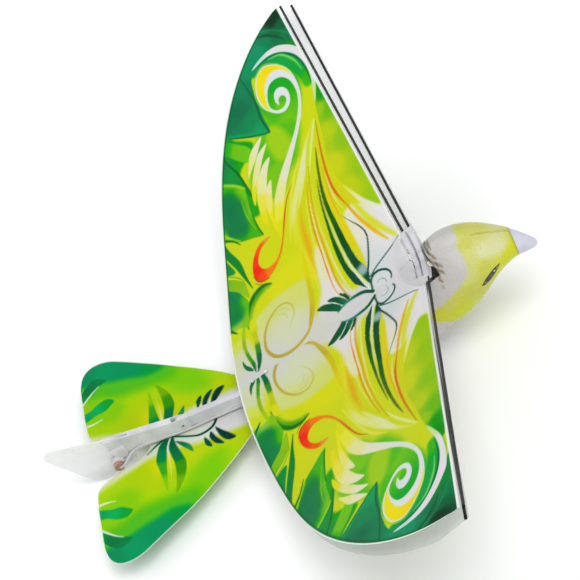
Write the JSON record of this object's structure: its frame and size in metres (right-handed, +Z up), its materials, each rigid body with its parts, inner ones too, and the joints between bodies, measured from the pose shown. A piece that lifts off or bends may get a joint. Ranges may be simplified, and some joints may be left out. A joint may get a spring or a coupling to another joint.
{
  "type": "remote-control flapping-wing bird",
  "caption": "Lightweight flying toy bird that flaps overlapping film wings on crossed arms, with a hollow bird-shaped body, slanted keel, film tail and tail rotor.",
  "frame": {"origin": "the hand-launch grip on the middle of the keel, just behind the wings", "axes": "+X forward to the beak, +Y to the left wing tip, +Z up"},
  "size_m": [0.3092, 0.4246, 0.1127],
  "materials": {
    "printed_film": "glossy thin film with printed feathers",
    "clear_film": "thin hazy clear film",
    "body_paint": "spray painted blown shell",
    "beak_paint": "satin moulded plastic",
    "keel_plastic": "satin moulded plastic",
    "white_plastic": "satin moulded plastic",
    "clear_plastic": "clear moulded plastic",
    "fin_plastic": "frosted translucent sheet",
    "gear_plastic": "natural nylon",
    "black_plastic": "moulded plastic",
    "carbon": "pultruded carbon rod",
    "steel": "drawn wire",
    "motor_can": "drawn can",
    "brass": "turned",
    "battery_foil": "foil pouch",
    "foam": "foam tape",
    "board": "lacquered circuit board",
    "lead_insulation": "thin insulation"
  },
  "bodies": {
    "frame": {"keel": "keel_plastic", "shell_left": "body_paint", "shell_right": "body_paint", "beak": "beak_paint", "gearbox_rear_plate": "white_plastic", "gearbox_front_plate": "white_plastic", "gearbox_posts": "white_plastic", "gearbox_screws": "steel", "hinge_shaft": "steel", "crank_axle": "steel", "middle_gear_shaft": "steel", "drive_motor": "motor_can", "hinge_cover": "clear_plastic", "battery": "battery_foil", "battery_pad": "foam", "circuit_board": "board", "charge_socket": "white_plastic", "switch_housing": "black_plastic", "film_root_pins": "white_plastic", "tail_film_studs_front": "white_plastic", "root_web_upper_left": "printed_film", "root_web_upper_right": "printed_film", "root_web_lower_left": "clear_film", "root_web_lower_right": "clear_film", "tail_film_front": "printed_film", "tail_leads_front": "lead_insulation"},
    "arm_a_body": {"wing_arm_a": "clear_plastic", "arm_a_crank_pin": "steel", "rod_upper_left": "carbon", "rod_lower_right": "carbon", "film_upper_left": "printed_film", "film_lower_right": "clear_film"},
    "arm_b_body": {"wing_arm_b": "clear_plastic", "arm_b_crank_pin": "steel", "rod_lower_left": "carbon", "rod_upper_right": "carbon", "film_lower_left": "clear_film", "film_upper_right": "printed_film"},
    "crank_body": {"crank_gear": "gear_plastic", "crank_pin": "brass"},
    "conrod_a_body": {"conrod_a": "brass"},
    "conrod_b_body": {"conrod_b": "brass"},
    "middle_gear_body": {"middle_gear": "gear_plastic"},
    "pinion_body": {"motor_pinion": "brass", "motor_shaft": "steel"},
    "boom_body": {"tail_boom": "keel_plastic", "tail_hinge_pin": "steel", "tail_film": "printed_film", "tail_fin": "fin_plastic", "tail_motor": "motor_can", "tail_motor_clip": "clear_plastic", "tail_leads_rear": "lead_insulation", "tail_film_studs_rear": "white_plastic"},
    "rotor_body": {"tail_rotor": "clear_plastic", "tail_rotor_shaft": "steel"},
    "switch_body": {"switch_slider": "white_plastic"}
  },
  "joints": [
    {"name": "wing_flap_a", "type": "hinge", "parent": "frame", "child": "arm_a_body", "pos_m": [0.138, 0, 0.047], "axis": [0.9135, 0, 0.4067], "range_deg": [-0.8, 25], "deforming": ["root_web_upper_left", "root_web_lower_right"]},
    {"name": "wing_flap_b", "type": "hinge", "parent": "frame", "child": "arm_b_body", "pos_m": [0.138, 0, 0.047], "axis": [0.9135, 0, 0.4067], "range_deg": [-25, 0.8], "deforming": ["root_web_upper_right", "root_web_lower_left"]},
    {"name": "crank_gear_spin", "type": "hinge", "parent": "frame", "child": "crank_body", "pos_m": [0.1513, 0, 0.03212], "axis": [0.9135, 0, 0.4067], "continuous": true},
    {"name": "conrod_a_swing", "type": "hinge", "parent": "crank_body", "child": "conrod_a_body", "pos_m": [0.14224, 0, 0.02568], "axis": [0.9135, 0, 0.4067], "continuous": true},
    {"name": "conrod_b_swing", "type": "hinge", "parent": "crank_body", "child": "conrod_b_body", "pos_m": [0.15073, 0, 0.02946], "axis": [0.9135, 0, 0.4067], "continuous": true},
    {"name": "middle_gear_spin", "type": "hinge", "parent": "frame", "child": "middle_gear_body", "pos_m": [0.15944, 0, 0.01605], "axis": [0.9135, 0, 0.4067], "continuous": true},
    {"name": "pinion_spin", "type": "hinge", "parent": "frame", "child": "pinion_body", "pos_m": [0.15741, 0, 0.02308], "axis": [0.9135, 0, 0.4067], "continuous": true},
    {"name": "boom_trim", "type": "hinge", "parent": "frame", "child": "boom_body", "pos_m": [-0.028, 0, 0.0024], "axis": [0, 1, 0], "range_deg": [-12, 12], "deforming": ["tail_film_front"]},
    {"name": "tail_rotor_spin", "type": "hinge", "parent": "boom_body", "child": "rotor_body", "pos_m": [-0.072, 0.0043, -0.0028], "axis": [0, 1, 0], "continuous": true},
    {"name": "switch_slide", "type": "slide", "parent": "frame", "child": "switch_body", "axis": [1, 0, 0], "range_m": [0, 0.002]}
  ],
  "couplings": [
    {"joint": "wing_flap_b", "follows": "wing_flap_a", "ratio": -1},
    {"joint": "conrod_a_swing", "follows": "crank_gear_spin", "ratio": -1},
    {"joint": "conrod_b_swing", "follows": "crank_gear_spin", "ratio": -1},
    {"joint": "middle_gear_spin", "follows": "crank_gear_spin", "ratio": -6.2},
    {"joint": "pinion_spin", "follows": "crank_gear_spin", "ratio": 13.778}
  ]
}
